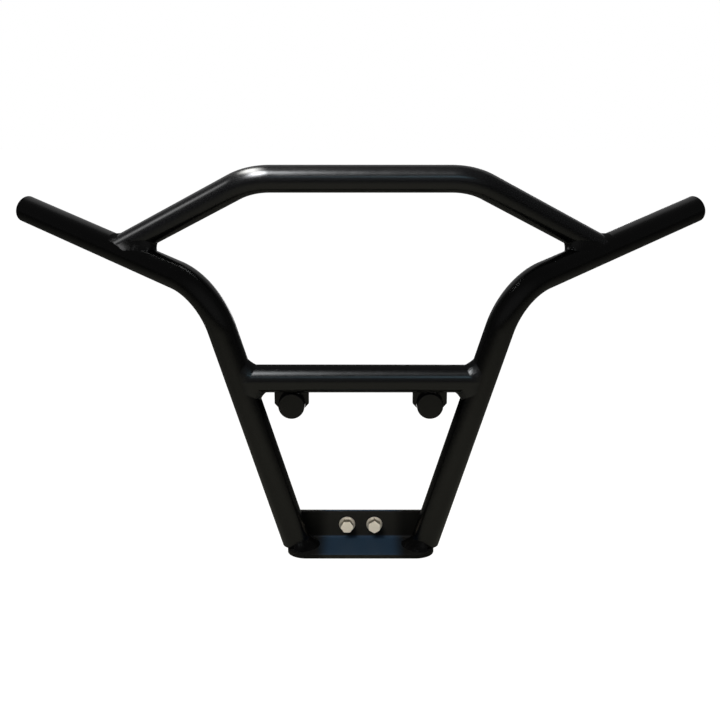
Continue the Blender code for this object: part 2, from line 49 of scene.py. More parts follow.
# what every piece shares
making = {
    "tubeSides": 128,
    "fineSides": 96,
    "holeSides": 64,
    "bendStep": 2.5,          # degrees of bend between two rings
    "smoothUnder": 32.0,      # edges flatter than this are shaded smooth
    "normalWeight": 60,       # over 50, large faces count more in the shading than small ones
    "roundAbove": 40,         # edges sharper than this are rounded off, in degrees
    "seat": 0.0003,           # gap between pieces that touch
    "sink": 0.00006,          # a bead's toes dip this far under the surfaces that it joins
    "near": 0.00006,          # places closer than this count as the same
    "merge": 0.00001,         # corners closer than this become one
    "mergeFine": 0.000005,    # the same on small pieces
    "past": 0.01,             # how far a hole's cutter runs out of the piece, at most
}


def selectOnly(piece):
    bpy.ops.object.select_all(action="DESELECT")
    piece.select_set(True)
    bpy.context.view_layer.objects.active = piece


def startEditing(piece):
    selectOnly(piece)
    bpy.ops.object.mode_set(mode="EDIT")
    bpy.ops.mesh.select_mode(type="VERT")
    bpy.ops.mesh.select_all(action="SELECT")


def stopEditing():
    bpy.ops.object.mode_set(mode="OBJECT")


def settle(name):
    # names the primitive just added and moves its place into its mesh
    piece = bpy.context.object
    piece.name = name
    piece.data.name = name
    bpy.ops.object.transform_apply(location=True, rotation=True, scale=True)
    return piece


def facing(direction):
    return direction.to_track_quat("Z", "Y").to_euler()


def pickVerts(piece, wanted):
    # called in edit mode: selects the vertices whose place passes the test
    bpy.ops.mesh.select_mode(type="VERT")
    bpy.ops.mesh.select_all(action="DESELECT")
    bpy.ops.object.mode_set(mode="OBJECT")
    for vertex in piece.data.vertices:
        vertex.select = wanted(vertex.co)
    bpy.ops.object.mode_set(mode="EDIT")
    bpy.ops.mesh.select_mode(type="VERT")


def applyModifier(piece, kind, **settings):
    selectOnly(piece)
    modifier = piece.modifiers.new(kind.lower(), kind)
    for key, value in settings.items():
        setattr(modifier, key, value)
    bpy.ops.object.modifier_apply(modifier=modifier.name)


def trim(piece, tool, keep=False):
    # cuts the tool's shape out of the piece, or keeps only what lies inside the tool
    way = "INTERSECT" if keep else "DIFFERENCE"
    applyModifier(piece, "BOOLEAN", object=tool, operation=way, solver="EXACT")
    bpy.data.objects.remove(tool, do_unlink=True)


def mergeDoubles(piece):
    startEditing(piece)
    bpy.ops.mesh.remove_doubles(threshold=making["mergeFine"])
    bpy.ops.mesh.dissolve_degenerate(threshold=making["mergeFine"])
    stopEditing()


def roundEdges(piece, size, above):
    applyModifier(
        piece, "BEVEL", width=size["edge"], segments=size["edgeSteps"], limit_method="ANGLE",
        angle_limit=math.radians(above), use_clamp_overlap=True,
    )


def roundBar(name, start, end, radius, count):
    bpy.ops.object.select_all(action="DESELECT")
    reach = end - start
    bpy.ops.mesh.primitive_cylinder_add(
        vertices=count, radius=radius, depth=reach.length,
        location=(start + end) / 2, rotation=facing(reach),
    )
    return settle(name)


def dress(piece, material, slot, *nodes):
    # the finish, the body it rides on and the solids it stands for
    selectOnly(piece)
    bpy.ops.object.shade_smooth_by_angle(angle=math.radians(making["smoothUnder"]))
    applyModifier(piece, "WEIGHTED_NORMAL", keep_sharp=True, weight=making["normalWeight"])
    piece.data.materials.clear()
    piece.data.materials.append(material)
    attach(piece, "root")
    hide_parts(*nodes)


sideTube = {
    "outside": 0.035,
    "wall": 0.002,
    "bendRadius": 0.076,
    "footFromPlateEnd": 0.01175,
    "footBack": 0.0261,
    "kneeSpan": 0.3614,
    "kneeHeight": 0.3195,
    "kneeAhead": 0.055,
    "wingSpan": 0.884,
    "tipHeight": 0.386,
    "tipBack": 0.145,
}

hoop = {
    "outside": 0.032,
    "wall": 0.002,
    "bendRadius": 0.070,
    "barSpan": 0.258,
    "barHeight": 0.4483,
    "barAhead": 0.052,
    "landingPastKnee": 0.1571,
}

crossTube = {"outside": 0.034, "wall": 0.002, "height": 0.2066}


# the frame's lines, worked out from the sizes above

def sideCorners(sign):
    shelfTop = plateLow.z + plate["thickness"]
    footOut = plateHigh.x - sideTube["footFromPlateEnd"]
    foot = Vector((sign * footOut, -sideTube["footBack"], shelfTop))
    knee = Vector((sign * sideTube["kneeSpan"] / 2, -sideTube["kneeAhead"], sideTube["kneeHeight"]))
    tip = Vector((sign * sideTube["wingSpan"] / 2, sideTube["tipBack"], sideTube["tipHeight"]))
    return foot, knee, tip


def hoopCorners(sign):
    # the landing on the wing, and the bend beside the bar
    foot, knee, tip = sideCorners(sign)
    landing = knee + (tip - knee).normalized() * hoop["landingPastKnee"]
    bend = Vector((sign * hoop["barSpan"] / 2, -hoop["barAhead"], hoop["barHeight"]))
    return landing, bend


def crossEnd(sign):
    foot, knee, tip = sideCorners(sign)
    return foot.lerp(knee, (crossTube["height"] - foot.z) / (knee.z - foot.z))


def bentTube(name, corners, size):
    # a ring, extruded along the straights and spun round the bends, then given its wall
    heading = (corners[1] - corners[0]).normalized()
    bpy.ops.object.select_all(action="DESELECT")
    bpy.ops.mesh.primitive_circle_add(
        vertices=making["tubeSides"], radius=size["outside"] / 2,
        location=corners[0], rotation=facing(heading),
    )
    piece = settle(name)
    startEditing(piece)
    at = corners[0]
    for before, corner, after in zip(corners, corners[1:], corners[2:]):
        into = (corner - before).normalized()
        out = (after - corner).normalized()
        turn = into.angle(out)
        setback = size["bendRadius"] * math.tan(turn / 2)
        axis = into.cross(out).normalized()
        bendStart = corner - into * setback
        bpy.ops.mesh.extrude_region_move(TRANSFORM_OT_translate={"value": bendStart - at})
        bpy.ops.mesh.spin(
            steps=round(math.degrees(turn) / making["bendStep"]), angle=-turn,
            center=bendStart + axis.cross(into) * size["bendRadius"], axis=axis,
        )
        at = corner + out * setback
    bpy.ops.mesh.extrude_region_move(TRANSFORM_OT_translate={"value": corners[-1] - at})
    bpy.ops.mesh.select_all(action="SELECT")
    bpy.ops.mesh.remove_doubles(threshold=making["merge"])
    bpy.ops.mesh.normals_make_consistent(inside=False)
    stopEditing()
    applyModifier(piece, "SOLIDIFY", thickness=size["wall"], offset=-1, use_even_offset=True)
    return piece


def copeTool(sign, part):
    # the outside of a leg or a wing, with the gap that seats a coped end on it
    foot, knee, tip = sideCorners(sign)
    low, high = (foot, knee) if part == "leg" else (knee, tip)
    radius = sideTube["outside"] / 2 + making["seat"]
    return roundBar("copeTool", low, high, radius, making["tubeSides"])


def makeSideTube(side, sign, coat):
    foot, knee, tip = sideCorners(sign)
    below = foot + (foot - knee).normalized() * sideTube["outside"]
    piece = bentTube("sideTube" + side, [below, knee, tip], sideTube)
    block = 4 * sideTube["outside"]
    shelf = plateLow.z + plate["thickness"] + making["seat"]
    bpy.ops.object.select_all(action="DESELECT")
    bpy.ops.mesh.primitive_cube_add(size=block, location=(foot.x, foot.y, shelf - block / 2))
    trim(piece, settle("shelfTool"))
    dress(piece, coat, "powder_coat", "side_tube_" + side.lower())


def makeHoop(coat):
    leftLanding, leftBend = hoopCorners(-1)
    rightLanding, rightBend = hoopCorners(1)
    piece = bentTube("topHoop", [leftLanding, leftBend, rightBend, rightLanding], hoop)
    for sign in (-1, 1):
        trim(piece, copeTool(sign, "wing"))
    dress(piece, coat, "powder_coat", "top_hoop")


def makeCrossTube(coat):
    piece = bentTube("crossTube", [crossEnd(-1), crossEnd(1)], crossTube)
    for sign in (-1, 1):
        trim(piece, copeTool(sign, "leg"))
    dress(piece, coat, "powder_coat", "cross_tube")


plate = {
    "thickness": 0.005,
    "foldRadius": 0.003,
    "foldSteps": 12,
    "shelfCorner": 0.024,
    "webCorner": 0.010,
    "cornerSteps": 14,
    "boltPitch": 0.035,
    "boltHole": 0.0135,
    "edge": 0.0007,
    "edgeSteps": 3,
    "roundAbove": 50,
}


def makeBasePlate():
    # the web's rear face, its lower edge spun forward round the fold and extruded into the shelf
    outer = plate["foldRadius"] + plate["thickness"]
    foldTop = plateLow.z + outer
    width = plateHigh.x - plateLow.x
    height = plateHigh.z - foldTop
    bpy.ops.object.select_all(action="DESELECT")
    bpy.ops.mesh.primitive_plane_add(
        size=1, location=(0, 0, foldTop + height / 2), rotation=(math.pi / 2, 0, 0)
    )
    bpy.context.object.scale = (width, height, 1)
    piece = settle("basePlate")
    startEditing(piece)
    pickVerts(piece, lambda co: co.z < foldTop + making["near"])
    bpy.ops.mesh.spin(
        steps=plate["foldSteps"], angle=math.pi / 2, center=(0, -outer, foldTop), axis=(1, 0, 0)
    )
    bpy.ops.mesh.extrude_region_move(
        TRANSFORM_OT_translate={"value": (0, plateLow.y + outer, 0)}
    )
    bpy.ops.mesh.select_all(action="SELECT")
    bpy.ops.mesh.remove_doubles(threshold=making["merge"])
    bpy.ops.mesh.normals_make_consistent(inside=False)
    for wanted, radius in (
        (lambda co: co.z > plateHigh.z - making["near"], plate["webCorner"]),
        (lambda co: co.y < plateLow.y + making["near"], plate["shelfCorner"]),
    ):
        pickVerts(piece, wanted)
        bpy.ops.mesh.bevel(offset=radius, segments=plate["cornerSteps"], affect="VERTICES")
    stopEditing()
    return piece


def finishBasePlate(piece, sheet):
    # wall, bolt holes and the slight rounding that the cut edges have under the coat
    applyModifier(piece, "SOLIDIFY", thickness=plate["thickness"], offset=-1, use_even_offset=True)
    for sign in (-1, 1):
        centre = Vector((sign * plate["boltPitch"] / 2, 0, 0))
        reach = back * making["past"]
        radius = plate["boltHole"] / 2
        trim(piece, roundBar("holeTool", centre - reach, centre + reach, radius, making["holeSides"]))
    roundEdges(piece, plate, plate["roundAbove"])
    dress(piece, sheet, "powder_coat", "base_plate")


def pushAndScale(shift, centre, share):
    # one more ring: extruded by the shift, then drawn in or out about its own centre
    bpy.ops.mesh.extrude_region_move(TRANSFORM_OT_translate={"value": shift})
    if share != 1:
        bpy.ops.transform.resize(value=(share, share, share), center_override=centre)


def turnedPiece(name, start, axis, profile):
    # rings of (radius, distance along the axis), closed by a face at each end
    bpy.ops.object.select_all(action="DESELECT")
    bpy.ops.mesh.primitive_circle_add(
        vertices=making["tubeSides"], radius=profile[0][0], fill_type="NGON",
        location=start + axis * profile[0][1], rotation=facing(axis),
    )
    piece = settle(name)
    startEditing(piece)
    for (radius, at), (nextRadius, nextAt) in zip(profile, profile[1:]):
        shift = axis * (nextAt - at)
        pushAndScale(shift, start + axis * nextAt, nextRadius / radius)
    bpy.ops.mesh.select_all(action="SELECT")
    bpy.ops.mesh.remove_doubles(threshold=making["mergeFine"])
    bpy.ops.mesh.normals_make_consistent(inside=False)
    stopEditing()
    return piece


plug = {
    "crown": 0.0035,
    "edge": 0.0015,
    "depth": 0.018,
    "wall": 0.002,
    "slip": 0.0004,
    "rib": 0.0008,
    "ribs": 2,
    "crownSteps": 9,
}


def makePlug(side, sign, plastic):
    # from the spigot's hollow bottom, over its wall and ribs, out to the flange and over the crown
    foot, knee, tip = sideCorners(sign)
    axis = (tip - knee).normalized()
    flange = sideTube["outside"] / 2
    spigot = flange - sideTube["wall"] - plug["slip"]
    root = spigot - plug["rib"]
    hollow = root - plug["wall"]
    seat = making["seat"]
    profile = [(hollow, seat), (hollow, -plug["depth"]), (root, -plug["depth"])]
    pitch = plug["depth"] / (plug["ribs"] + 1)
    for k in range(plug["ribs"], 0, -1):
        crest = -pitch * k
        profile += [(root, crest - plug["rib"]), (spigot, crest), (root, crest + plug["rib"])]
    profile += [(root, seat), (flange, seat), (flange, plug["edge"])]
    for k in range(plug["crownSteps"] - 1, 0, -1):
        a = math.pi / 2 * k / plug["crownSteps"]
        rise = (plug["crown"] - plug["edge"]) * math.cos(a)
        profile.append((flange * math.sin(a), plug["edge"] + rise))
    piece = turnedPiece("wingPlug" + side, tip, axis, profile)
    dress(piece, plastic, "plug_plastic", "wing_plug_" + side.lower())


arm = {
    "spacing": 0.169,
    "outside": 0.032,
    "wall": 0.003,
    "underCross": 0.0015,
    "aheadOfCross": 0.004,
    "length": 0.110,
    "disc": 0.004,
    "discEdge": 0.0012,
    "discEdgeSteps": 4,
    "bushFlange": 0.004,
    "bushDepth": 0.020,
    "bushBore": 0.0085,
    "bushEdge": 0.0008,
    "borePitch": 0.0015,
    "boreThread": 0.00045,
    "borePast": 0.002,        # how far the bore's cutter runs past the bush at each end
}


def armFront(sign):
    end = crossEnd(sign)
    drop = crossTube["outside"] / 2 + arm["underCross"] + arm["outside"] / 2
    return Vector((sign * arm["spacing"] / 2, end.y - arm["aheadOfCross"], end.z - drop))


def makeArm(side, sign, coat, steel):
    front = armFront(sign)
    label = side.lower()
    radius = arm["outside"] / 2
    seat = making["seat"]
    tubeStart = front + back * (arm["disc"] + seat)
    tubeEnd = front + back * (arm["length"] - arm["bushFlange"] - seat)
    tube = bentTube("armTube" + side, [tubeStart, tubeEnd], arm)
    dress(tube, coat, "powder_coat", "arm_tube_" + label)

    edge = arm["discEdge"]
    profile = [(radius - edge, 0)]
    for k in range(1, arm["discEdgeSteps"] + 1):
        a = math.pi / 2 * k / arm["discEdgeSteps"]
        profile.append((radius - edge + edge * math.sin(a), edge - edge * math.cos(a)))
    profile.append((radius, arm["disc"]))
    disc = turnedPiece("armDisc" + side, front, back, profile)
    dress(disc, coat, "powder_coat", "arm_disc_" + label)

    spigot = radius - arm["wall"] - seat
    edge = arm["bushEdge"]
    profile = [(radius - edge, 0), (radius, edge), (radius, arm["bushFlange"])]
    profile += [(spigot, arm["bushFlange"]), (spigot, arm["bushDepth"])]
    rear = front + back * arm["length"]
    bush = turnedPiece("armBush" + side, rear, -back, profile)
    trim(bush, threadedBar(
        "boreTool", rear + back * arm["borePast"], -back, arm["bushBore"] / 2, arm["borePitch"],
        arm["bushDepth"] + 2 * arm["borePast"], arm["boreThread"],
    ))
    dress(bush, steel, "zinc_steel", "arm_bush_" + label)


yoke = {
    "flank": 0.005,
    "thickness": 0.005,
    "behindFace": 0.010,
    "shoulderUp": 0.001,
    "prongDrop": 0.0043,
    "prongTip": 0.0006,
    "edge": 0.0004,
    "edgeSteps": 2,
}


def makeYoke(side, sign, coat):
    # a block, its flanks cut to slants by two planes, notched for the arm and coped to the cross tube
    centre = armFront(sign)
    half = arm["outside"] / 2 + yoke["flank"]
    notch = arm["outside"] / 2 + making["seat"]
    crossRadius = crossTube["outside"] / 2
    top = crossRadius / 2 + arm["underCross"] + arm["outside"] / 2
    bpy.ops.object.select_all(action="DESELECT")
    bpy.ops.mesh.primitive_cube_add(size=1)
    block = bpy.context.object
    block.scale = (2 * half, yoke["thickness"], top + yoke["prongDrop"])
    block.location = centre + Vector((
        0, yoke["behindFace"] + yoke["thickness"] / 2, (top - yoke["prongDrop"]) / 2
    ))
    piece = settle("armYoke" + side)
    startEditing(piece)
    prongOut = notch * math.cos(math.asin(yoke["prongDrop"] / notch)) + yoke["prongTip"]
    for flank in (-1, 1):
        shoulder = centre + Vector((flank * half, 0, yoke["shoulderUp"]))
        slant = Vector((flank * (half - prongOut), 0, yoke["shoulderUp"] + yoke["prongDrop"]))
        outward = (back.cross(slant) * flank).normalized()
        bpy.ops.mesh.select_all(action="SELECT")
        bpy.ops.mesh.bisect(
            plane_co=shoulder, plane_no=outward, use_fill=True, clear_outer=True,
            threshold=making["near"],
        )
    stopEditing()
    reach = back * arm["length"]
    trim(piece, roundBar("notchTool", centre - reach, centre + reach, notch, making["tubeSides"]))
    crossing = crossEnd(sign)
    reach = Vector((half * 2, 0, 0))
    middle = Vector((centre.x, crossing.y, crossing.z))
    radius = crossRadius + making["seat"]
    trim(piece, roundBar("copeTool", middle - reach, middle + reach, radius, making["tubeSides"]))
    roundEdges(piece, yoke, making["roundAbove"])
    dress(piece, coat, "powder_coat", "arm_yoke_" + side.lower())


fastener = {
    "size": 0.012,
    "pitch": 0.00175,
    "threadDepth": 0.00075,
    "threadSides": 48,
    "ringsPerTurn": 8,
    "flankShare": 0.4,        # how much of the pitch one flank of the thread takes
    "length": 0.025,
    "shankOverlap": 0.001,
    # faceShare: the chamfer's circle on the end face, as a share of the flats
    "head": {"flats": 0.0145, "height": 0.0105, "faceShare": 1.06},
    "nut": {"flats": 0.019, "height": 0.010, "faceShare": 0.95},
    "chamferAngle": 30,
    "coneOverrun": 0.1,       # how far a chamfer's cone runs past the head, in head heights
    "flange": 0.0205,
    "flangeRim": 0.0008,
    "flangeRise": 0.0022,
    "nutClearance": 0.0008,
    "washerClearance": 0.001,
    "washerOutside": 0.024,
    "washerThickness": 0.0025,
    "edge": 0.0002,
    "edgeSteps": 2,
    "turns": {"Left": 30, "Right": 0},
}


def threadedBar(name, start, axis, radius, pitch, length, depth):
    # a bar of rings whose vertices are then drawn in along a helix
    rings = round(length / pitch * fastener["ringsPerTurn"])
    step = axis * (length / rings)
    bpy.ops.object.select_all(action="DESELECT")
    bpy.ops.mesh.primitive_circle_add(
        vertices=fastener["threadSides"], radius=radius, fill_type="NGON", location=start,
        rotation=facing(axis),
    )
    piece = settle(name)
    startEditing(piece)
    for k in range(rings):
        bpy.ops.mesh.extrude_region_move(TRANSFORM_OT_translate={"value": step})
    bpy.ops.mesh.select_all(action="SELECT")
    bpy.ops.mesh.normals_make_consistent(inside=False)
    stopEditing()
    level = axis.orthogonal().normalized()
    rise = axis.cross(level)
    for vertex in piece.data.vertices:
        along = (vertex.co - start).dot(axis)
        out = vertex.co - start - axis * along
        turn = math.atan2(out.dot(rise), out.dot(level)) / (2 * math.pi)
        phase = (along / pitch - turn) % 1
        dip = min(1, (0.5 - abs(phase - 0.5)) / fastener["flankShare"])
        taper = min(1, along / pitch, (length - along) / pitch)
        vertex.co -= out.normalized() * (depth * (dip if taper >= 1 else max(dip, 1 - taper)))
    return piece


def hexBlank(name, seat, axis, size, turn, bothEnds):
    # a six-sided bar brought to its chamfer by cones
    height = size["height"]
    corner = size["flats"] / math.sqrt(3)
    flip = 1 if axis.y < 0 else -1
    bpy.ops.object.select_all(action="DESELECT")
    bpy.ops.mesh.primitive_cylinder_add(
        vertices=6, radius=corner, depth=height, location=seat + axis * (height / 2),
        rotation=(flip * math.pi / 2, math.radians(turn), 0),
    )
    piece = settle(name)
    slope = math.tan(math.radians(90 - fastener["chamferAngle"]))
    face = size["flats"] / 2 * size["faceShare"]
    overrun = height * fastener["coneOverrun"]
    depth = height + 2 * overrun
    for end in ((1, -1) if bothEnds else (1,)):
        bpy.ops.object.select_all(action="DESELECT")
        direction = axis * end
        bpy.ops.mesh.primitive_cone_add(
            vertices=making["fineSides"], radius1=face + slope * depth, radius2=face, depth=depth,
            location=seat + axis * (height / 2) - direction * overrun, rotation=facing(direction),
        )
        trim(piece, settle("chamferTool"), keep=True)
    mergeDoubles(piece)
    return piece


def fuse(piece, other):
    applyModifier(piece, "BOOLEAN", object=other, operation="UNION", solver="EXACT")
    bpy.data.objects.remove(other, do_unlink=True)


def makeBolt(side, sign, steel):
    # a six-sided head on its sloping flange, and the threaded shank behind
    axis = -back
    seat = Vector((sign * plate["boltPitch"] / 2, -plate["thickness"] - making["seat"], 0))
    turn = fastener["turns"][side]
    piece = hexBlank("baseBolt" + side, seat, axis, fastener["head"], turn, False)
    rim = fastener["flange"] / 2
    neck = fastener["head"]["flats"] / 2
    profile = [(rim, 0), (rim, fastener["flangeRim"]), (neck, fastener["flangeRise"])]
    fuse(piece, turnedPiece("flange", seat, axis, profile))
    overlap = fastener["shankOverlap"]
    fuse(piece, threadedBar(
        "shank", seat + axis * overlap, -axis, fastener["size"] / 2, fastener["pitch"],
        fastener["length"] + overlap, fastener["threadDepth"],
    ))
    roundEdges(piece, fastener, making["roundAbove"])
    dress(piece, steel, "zinc_steel", "base_bolt_" + side.lower())


def makeWasher(side, sign, steel):
    seat = Vector((sign * plate["boltPitch"] / 2, making["seat"], 0))
    top = seat + back * fastener["washerThickness"]
    outside = fastener["washerOutside"]
    piece = roundBar("baseWasher" + side, seat, top, outside / 2, making["fineSides"])
    bore = (fastener["size"] + fastener["washerClearance"]) / 2
    past = back * making["past"]
    trim(piece, roundBar("boreTool", seat - past, top + past, bore, making["holeSides"]))
    roundEdges(piece, fastener, making["roundAbove"])
    dress(piece, steel, "zinc_steel", "base_washer_" + side.lower())


def makeNut(side, sign, steel):
    gap = 2 * making["seat"] + fastener["washerThickness"]
    seat = Vector((sign * plate["boltPitch"] / 2, gap, 0))
    top = seat + back * fastener["nut"]["height"]
    piece = hexBlank("baseNut" + side, seat, back, fastener["nut"], fastener["turns"][side], True)
    bore = (fastener["size"] + fastener["nutClearance"]) / 2
    past = back * making["past"]
    trim(piece, roundBar("boreTool", seat - past, top + past, bore, making["holeSides"]))
    roundEdges(piece, fastener, making["roundAbove"])
    dress(piece, steel, "zinc_steel", "base_nut_" + side.lower())


bead = {
    "leg": 0.0075,
    "footLeg": 0.0105,
    "armLeg": 0.004,
    "armTurns": (0, 55),      # degrees up each flank of an arm
    "crotchFill": 0.85,       # how much longer the legs grow in a sharp crotch
    "hollow": 0.08,
    "crownSteps": 12,
    "sectionStep": 0.00035,
    "ripple": 0.0021,         # one pool of weld to the next
    "rippleDepth": 0.00022,
    "bow": 0.8,               # how far a ripple's middle lies off its ends along the run, in ripples
    "poolLean": 0.8,          # under 1, each pool is steeper behind than ahead
    "poolFlat": 2.4,          # how broad each pool is on top
    "sway": 0.04,             # how unevenly the toes wander
    "swayTurns": (1.7, 0.61),
    "swayStart": 1.1,
    "endShare": 0.35,         # an open bead's ends taper to this share of its leg
    "copeStretch": 1.25,      # how much longer a cope's line is than the tube's girth
}


def roundFace(point, direction, radius):
    return {"point": point, "along": direction.normalized(), "radius": radius}


def flatFace(point, normal):
    return {"point": point, "along": normal, "radius": 0}


def offFace(face, place):
    # from a tube's centreline, or from a flat face, straight out to the place
    offset = place - face["point"]
    along = face["along"] * offset.dot(face["along"])
    return offset - along if face["radius"] else along


def outOf(face, place):
    return offFace(face, place).normalized() if face["radius"] else face["along"]


def liftTo(face, place, gap):
    # the point over or under the place that stands off the face by the gap
    out = offFace(face, place)
    if face["radius"]:
        return place + out * ((face["radius"] + gap) / out.length - 1)
    return place - out + face["along"] * gap


def meet(face, start, heading):
    # where a straight line first reaches the face
    if not face["radius"]:
        return start + heading * ((face["point"] - start).dot(face["along"]) / heading.dot(face["along"]))
    along = face["along"]
    step = heading - along * heading.dot(along)
    offset = offFace(face, start)
    a = step.dot(step)
    b = offset.dot(step)
    c = offset.dot(offset) - face["radius"] ** 2
    return start + heading * ((-b - math.sqrt(b * b - a * c)) / a)


def ringAxes(direction):
    level = up.cross(direction)
    level = Vector((1, 0, 0)) if level.length < making["near"] else level.normalized()
    return level, direction.cross(level).normalized()


def beadSection(branch, main, spot, leg, ripples):
    # one cross-section: two buried toes, a root, and a crown with the ripples raised on it
    offBranch = outOf(branch, spot)
    offMain = outOf(main, spot)
    along = offBranch.cross(offMain).normalized()
    overMain = along.cross(offMain)
    overMain *= 1 if overMain.dot(offBranch) > 0 else -1
    overBranch = along.cross(offBranch)
    overBranch *= 1 if overBranch.dot(offMain) > 0 else -1
    leg *= 1 + bead["crotchFill"] * max(0, overMain.dot(overBranch))
    quick, slow = bead["swayTurns"]
    sway = bead["sway"] * math.sin(ripples * quick) * math.sin(ripples * slow + bead["swayStart"])
    sink = -making["sink"]
    root = liftTo(main, liftTo(branch, spot, sink), sink)
    mainToe = liftTo(main, spot + overMain * (leg * (1 + sway)), sink)
    branchToe = liftTo(branch, spot + overBranch * (leg * (1 - sway)), sink)
    mainHalf = liftTo(main, spot + overMain * (leg / 2), sink)
    branchHalf = liftTo(branch, spot + overBranch * (leg / 2), sink)
    outward = ((mainToe + branchToe) / 2 - spot).normalized()
    crown = []
    for k in range(1, bead["crownSteps"]):
        share = k / bead["crownSteps"]
        arch = 4 * share * (1 - share)
        phase = (ripples + bead["bow"] * arch) % 1
        pool = 1 - abs(2 * phase ** bead["poolLean"] - 1) ** bead["poolFlat"]
        lift = bead["rippleDepth"] * pool * math.sqrt(arch) - leg * bead["hollow"] * arch
        crown.append(mainToe.lerp(branchToe, share) + outward * lift)
    return [root, mainHalf, mainToe, *crown, branchToe, branchHalf]


def beadThrough(name, branch, main, spots, leg, closed, coat, *nodes):
    # sections along the run, a whole number of ripples apart, joined into one skin
    gaps = [(b - a).length for a, b in zip(spots, spots[1:] + spots[:1])]
    total = sum(gaps if closed else gaps[:-1])
    perLength = max(1, round(total / bead["ripple"])) / total
    at = 0
    sections = []
    for spot, gap in zip(spots, gaps):
        size = leg
        if not closed:
            rise = math.sqrt(1 - (1 - min(1, min(at, total - at) / leg)) ** 2)
            size = leg * (bead["endShare"] + (1 - bead["endShare"]) * rise)
        sections.append(beadSection(branch, main, spot, size, at * perLength))
        at += gap
    count = len(sections[0])
    last = len(sections) if closed else len(sections) - 1
    faces = []
    for i in range(last):
        one = i * count
        two = (i + 1) % len(sections) * count
        for k in range(count):
            nextK = (k + 1) % count
            faces.append((one + k, one + nextK, two + nextK, two + k))
    if not closed:
        faces += [tuple(range(count)), tuple(range(last * count, (last + 1) * count))]
    mesh = bpy.data.meshes.new(name)
    mesh.from_pydata([co for section in sections for co in section], [], faces)
    piece = bpy.data.objects.new(name, mesh)
    bpy.context.scene.collection.objects.link(piece)
    startEditing(piece)
    bpy.ops.mesh.normals_make_consistent(inside=False)
    stopEditing()
    dress(piece, coat, "powder_coat", *nodes)


def spotsRound(branch, main, low, high):
    # where the branch tube's outside meets the main face, from one turn about its axis to another
    level, rise = ringAxes(branch["along"])
    steps = round(abs(high - low) * branch["radius"] * bead["copeStretch"] / bead["sectionStep"])
    spots = []
    for k in range(steps):
        turn = low + (high - low) * k / steps
        out = math.cos(turn) * level + math.sin(turn) * rise
        spots.append(meet(main, branch["point"] + out * branch["radius"], branch["along"]))
    return spots


def makeTubeWelds(side, sign, coat):
    # the closed beads: hoop on wing and cross tube on leg
    label = side.lower()
    foot, knee, tip = sideCorners(sign)
    landing, bend = hoopCorners(sign)
    wing = roundFace(knee, tip - knee, sideTube["outside"] / 2)
    leg = roundFace(foot, knee - foot, sideTube["outside"] / 2)
    branch = roundFace(bend, landing - bend, hoop["outside"] / 2)
    spots = spotsRound(branch, wing, 0, 2 * math.pi)
    beadThrough("hoopWeld" + side, branch, wing, spots, bead["leg"], True, coat, "hoop_weld_" + label)
    end = crossEnd(sign)
    branch = roundFace(Vector((0, end.y, end.z)), Vector((sign, 0, 0)), crossTube["outside"] / 2)
    spots = spotsRound(branch, leg, 0, 2 * math.pi)
    beadThrough("crossWeld" + side, branch, leg, spots, bead["leg"], True, coat, "cross_weld_" + label)


def hasShelfUnder(place):
    acrossCorner = abs(place.x) - (plateHigh.x - plate["shelfCorner"])
    aheadCorner = plateLow.y + plate["shelfCorner"] - place.y
    if acrossCorner > 0 and aheadCorner > 0:
        return math.hypot(acrossCorner, aheadCorner) < plate["shelfCorner"]
    return abs(place.x) < plateHigh.x and place.y > plateLow.y


def makeFootWeld(side, sign, coat):
    # round the foot wherever it has shelf under it and room before the fold
    foot, knee, tip = sideCorners(sign)
    shelf = flatFace(foot, up)
    radius = sideTube["outside"] / 2
    branch = roundFace(foot + (knee - foot).normalized() * sideTube["outside"], foot - knee, radius)
    spots = spotsRound(branch, shelf, 0, 2 * math.pi)
    foldFront = -plate["thickness"] - plate["foldRadius"]
    held = []
    for spot in spots:
        toe = spot + outOf(branch, spot) * bead["footLeg"]
        held.append(toe.y < foldFront and hasShelfUnder(toe))
    closed = all(held)
    if not closed:
        first = next(k for k in range(len(held)) if held[k] and not held[k - 1])
        spots = spots[first:] + spots[:first]
        held = held[first:] + held[:first]
        spots = spots[:held.index(False)]
    beadThrough("footWeld" + side, branch, shelf, spots, bead["footLeg"], closed, coat,
                "foot_weld_" + side.lower())


def makeArmWelds(side, sign, coat):
    # one straight bead over the yoke, and one up each flank of the arm
    label = side.lower()
    front = armFront(sign)
    rear = front.y + yoke["behindFace"] + yoke["thickness"]
    crossing = crossEnd(sign)
    cross = roundFace(crossing, Vector((1, 0, 0)), crossTube["outside"] / 2)
    yokeRear = flatFace(Vector((0, rear, 0)), back)
    down = math.sqrt((crossTube["outside"] / 2) ** 2 - (rear - crossing.y) ** 2)
    half = arm["outside"] / 2 + yoke["flank"]
    steps = round(2 * half / bead["sectionStep"])
    start = Vector((front.x - half, rear, crossing.z - down))
    spots = [start + Vector((2 * half * k / steps, 0, 0)) for k in range(steps + 1)]
    beadThrough("yokeWeld" + side, yokeRear, cross, spots, bead["armLeg"], False, coat,
                "yoke_weld_" + label)
    branch = roundFace(front + back * arm["length"], -back, arm["outside"] / 2)
    low, high = (math.radians(turn) for turn in bead["armTurns"])
    flanks = {"A": (low, high), "B": (math.pi - low, math.pi - high)}
    for letter, (start, end) in flanks.items():
        spots = spotsRound(branch, yokeRear, start, end)
        beadThrough("armWeld" + side + letter, branch, yokeRear, spots, bead["armLeg"], False, coat,
                    "arm_weld_" + label + "_" + letter.lower())


def newMaterial(name):
    material = bpy.data.materials.new(name)
    material.use_nodes = True
    shader = material.node_tree.nodes["Principled BSDF"]
    return material, material.node_tree.nodes, material.node_tree.links, shader


